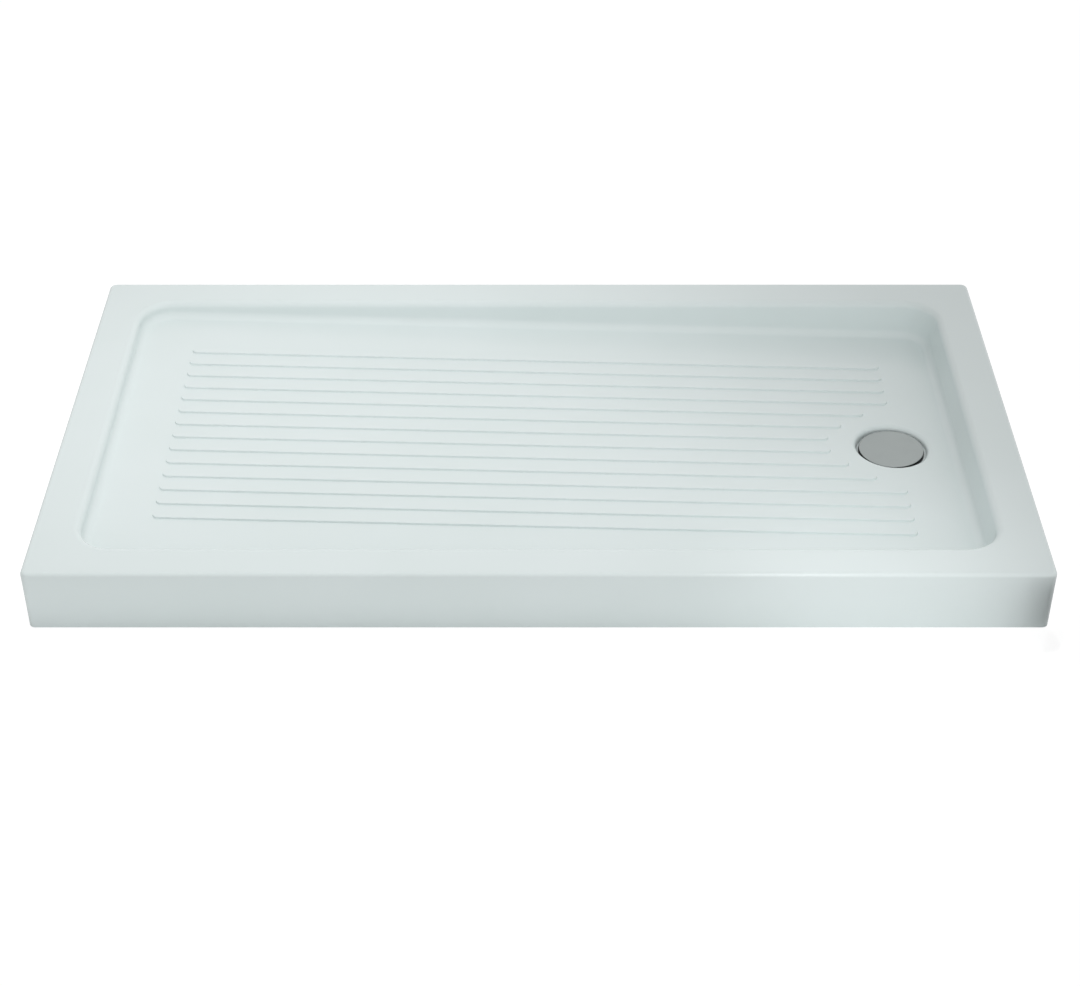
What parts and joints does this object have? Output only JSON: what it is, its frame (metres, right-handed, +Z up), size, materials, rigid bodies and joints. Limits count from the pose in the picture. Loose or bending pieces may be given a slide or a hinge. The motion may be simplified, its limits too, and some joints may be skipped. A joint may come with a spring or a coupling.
{
  "type": "shower tray",
  "caption": "Low rectangular shower tray with a flat deck, an apron to the ground, a sloped ribbed floor, a round drain with a lift-off cover at one end, and levelling feet underneath.",
  "frame": {"origin": "on the ground, under the middle of the tray", "axes": "+X along the tray towards the drain, +Y from the front to the back, +Z up"},
  "size_m": [1.6, 0.9, 0.105],
  "materials": {
    "acrylic": "glossy white moulded acrylic sheet",
    "fibreglass": "rough sprayed glass fibre laminate",
    "chipboard": "raw pressed chipboard",
    "zinc_steel": "zinc plated steel",
    "stainless": "stainless steel",
    "seal_rubber": "moulded black rubber",
    "waste_plastic": "moulded white polypropylene",
    "strainer_plastic": "moulded grey plastic",
    "satin_chrome": "satin chromed metal",
    "foot_plastic": "moulded black glass-filled nylon"
  },
  "bodies": {
    "root": {"tray_shell": "acrylic", "fibreglass_backing": "fibreglass", "base_board": "chipboard", "foot_socket_screws": "zinc_steel", "foot_lock_nuts": "zinc_steel", "flange_gasket": "seal_rubber", "waste_flange": "waste_plastic", "body_gasket": "seal_rubber", "waste_body": "waste_plastic", "waste_screws": "stainless", "collar_seal": "seal_rubber", "foot_socket_front_left": "foot_plastic", "foot_socket_back_left": "foot_plastic", "foot_socket_front_middle": "foot_plastic", "foot_socket_back_middle": "foot_plastic", "foot_socket_front_right": "foot_plastic", "foot_socket_back_right": "foot_plastic"},
    "strainer": {"hair_strainer": "strainer_plastic"},
    "cover": {"drain_cover": "satin_chrome", "cover_holder": "strainer_plastic"},
    "pad_front_left": {"foot_pad_front_left": "foot_plastic"},
    "stud_front_left": {"foot_stud_front_left": "zinc_steel"},
    "pad_back_left": {"foot_pad_back_left": "foot_plastic"},
    "stud_back_left": {"foot_stud_back_left": "zinc_steel"},
    "pad_front_middle": {"foot_pad_front_middle": "foot_plastic"},
    "stud_front_middle": {"foot_stud_front_middle": "zinc_steel"},
    "pad_back_middle": {"foot_pad_back_middle": "foot_plastic"},
    "stud_back_middle": {"foot_stud_back_middle": "zinc_steel"},
    "pad_front_right": {"foot_pad_front_right": "foot_plastic"},
    "stud_front_right": {"foot_stud_front_right": "zinc_steel"},
    "pad_back_right": {"foot_pad_back_right": "foot_plastic"},
    "stud_back_right": {"foot_stud_back_right": "zinc_steel"}
  },
  "joints": [
    {"name": "strainer_lift", "type": "slide", "parent": "root", "child": "strainer", "axis": [0, 0, 1], "range_m": [0, 0.045]},
    {"name": "cover_lift", "type": "slide", "parent": "strainer", "child": "cover", "axis": [0, 0, 1], "range_m": [0, 0.06]},
    {"name": "foot_extend_front_left", "type": "slide", "parent": "root", "child": "pad_front_left", "axis": [0, 0, -1], "range_m": [0, 0.01]},
    {"name": "stud_turn_front_left", "type": "hinge", "parent": "pad_front_left", "child": "stud_front_left", "pos_m": [-0.55975, -0.29975, 0.01], "axis": [0, 0, -1], "range_deg": [0, 2399]},
    {"name": "foot_extend_back_left", "type": "slide", "parent": "root", "child": "pad_back_left", "axis": [0, 0, -1], "range_m": [0, 0.01]},
    {"name": "stud_turn_back_left", "type": "hinge", "parent": "pad_back_left", "child": "stud_back_left", "pos_m": [-0.55975, 0.29975, 0.01], "axis": [0, 0, -1], "range_deg": [0, 2399]},
    {"name": "foot_extend_front_middle", "type": "slide", "parent": "root", "child": "pad_front_middle", "axis": [0, 0, -1], "range_m": [0, 0.01]},
    {"name": "stud_turn_front_middle", "type": "hinge", "parent": "pad_front_middle", "child": "stud_front_middle", "pos_m": [-0.05988, -0.29975, 0.01], "axis": [0, 0, -1], "range_deg": [0, 2399]},
    {"name": "foot_extend_back_middle", "type": "slide", "parent": "root", "child": "pad_back_middle", "axis": [0, 0, -1], "range_m": [0, 0.01]},
    {"name": "stud_turn_back_middle", "type": "hinge", "parent": "pad_back_middle", "child": "stud_back_middle", "pos_m": [-0.05988, 0.29975, 0.01], "axis": [0, 0, -1], "range_deg": [0, 2399]},
    {"name": "foot_extend_front_right", "type": "slide", "parent": "root", "child": "pad_front_right", "axis": [0, 0, -1], "range_m": [0, 0.01]},
    {"name": "stud_turn_front_right", "type": "hinge", "parent": "pad_front_right", "child": "stud_front_right", "pos_m": [0.44, -0.29975, 0.01], "axis": [0, 0, -1], "range_deg": [0, 2399]},
    {"name": "foot_extend_back_right", "type": "slide", "parent": "root", "child": "pad_back_right", "axis": [0, 0, -1], "range_m": [0, 0.01]},
    {"name": "stud_turn_back_right", "type": "hinge", "parent": "pad_back_right", "child": "stud_back_right", "pos_m": [0.44, 0.29975, 0.01], "axis": [0, 0, -1], "range_deg": [0, 2399]}
  ],
  "couplings": [
    {"joint": "foot_extend_front_left", "follows": "stud_turn_front_left", "m_per_rad": 0.00023873},
    {"joint": "foot_extend_back_left", "follows": "stud_turn_back_left", "m_per_rad": 0.00023873},
    {"joint": "foot_extend_front_middle", "follows": "stud_turn_front_middle", "m_per_rad": 0.00023873},
    {"joint": "foot_extend_back_middle", "follows": "stud_turn_back_middle", "m_per_rad": 0.00023873},
    {"joint": "foot_extend_front_right", "follows": "stud_turn_front_right", "m_per_rad": 0.00023873},
    {"joint": "foot_extend_back_right", "follows": "stud_turn_back_right", "m_per_rad": 0.00023873}
  ]
}
